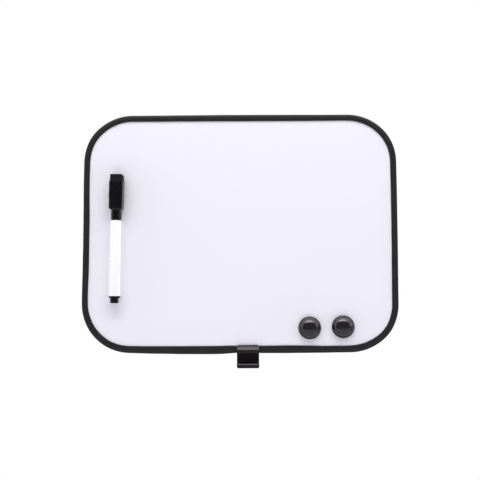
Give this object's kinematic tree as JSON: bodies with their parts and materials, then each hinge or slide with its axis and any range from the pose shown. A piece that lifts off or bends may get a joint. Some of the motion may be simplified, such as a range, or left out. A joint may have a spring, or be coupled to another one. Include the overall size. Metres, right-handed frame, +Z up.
{
  "type": "magnetic whiteboard",
  "caption": "Slim magnetic dry-erase board with round corners, edge trim, a sliding marker clip, round magnets and a marker whose cap carries an eraser.",
  "frame": {"origin": "middle of the flat plane that the four back pads stick to, behind the centre of the board", "axes": "+X to the right along the board as a reader sees it, +Z up the board, +Y back through the board into the wall, so the writing face looks along -Y"},
  "size_m": [0.28, 0.0201, 0.2251],
  "materials": {
    "white_enamel": "gloss white dry-erase enamel on thin steel",
    "core_board": "raw honeycomb board",
    "back_liner": "matt grey lining paper",
    "trim_plastic": "satin black extruded plastic",
    "pad_foam": "white adhesive foam",
    "clip_plastic": "glossy black plastic",
    "magnet_plastic": "polished black plastic",
    "ferrite": "dark grey sintered magnet",
    "cap_plastic": "satin black moulding",
    "seal_plastic": "natural soft polythene",
    "felt": "dense black felt",
    "barrel_plastic": "glossy white tube",
    "plug_plastic": "satin black moulding",
    "section_plastic": "satin black moulding",
    "nib_fibre": "ink-soaked bonded fibre",
    "reservoir_fibre": "ink-soaked fibre filler"
  },
  "bodies": {
    "board": {"face_sheet": "white_enamel", "panel_core": "core_board", "back_sheet": "back_liner", "edge_trim": "trim_plastic", "mounting_pad_lower_left": "pad_foam", "mounting_pad_lower_right": "pad_foam", "mounting_pad_upper_left": "pad_foam", "mounting_pad_upper_right": "pad_foam"},
    "clip": {"marker_clip": "clip_plastic"},
    "left_magnet": {"left_magnet_cap": "magnet_plastic", "left_magnet_disc": "ferrite"},
    "right_magnet": {"right_magnet_cap": "magnet_plastic", "right_magnet_disc": "ferrite"},
    "cap": {"cap_shell": "cap_plastic", "cap_inner_seal": "seal_plastic", "cap_magnet": "ferrite", "cap_eraser_pad": "felt"},
    "marker": {"marker_barrel": "barrel_plastic", "marker_tail_plug": "plug_plastic", "marker_nib_section": "section_plastic", "marker_nib": "nib_fibre", "marker_ink_reservoir": "reservoir_fibre"}
  },
  "joints": [
    {"name": "clip_slide", "type": "slide", "parent": "board", "child": "clip", "axis": [1, 0, 0], "range_m": [-0.093, 0.08]},
    {"name": "left_magnet_slide", "type": "slide", "parent": "board", "child": "left_magnet", "axis": [0, 0, 1], "range_m": [-0.004, 0.174]},
    {"name": "right_magnet_slide", "type": "slide", "parent": "board", "child": "right_magnet", "axis": [0, 0, 1], "range_m": [-0.004, 0.174]},
    {"name": "marker_lift", "type": "slide", "parent": "board", "child": "cap", "axis": [0, -1, 0], "range_m": [0, 0.04]},
    {"name": "cap_pull", "type": "slide", "parent": "cap", "child": "marker", "axis": [-0.014, 0, -0.9999], "range_m": [0, 0.034]}
  ]
}
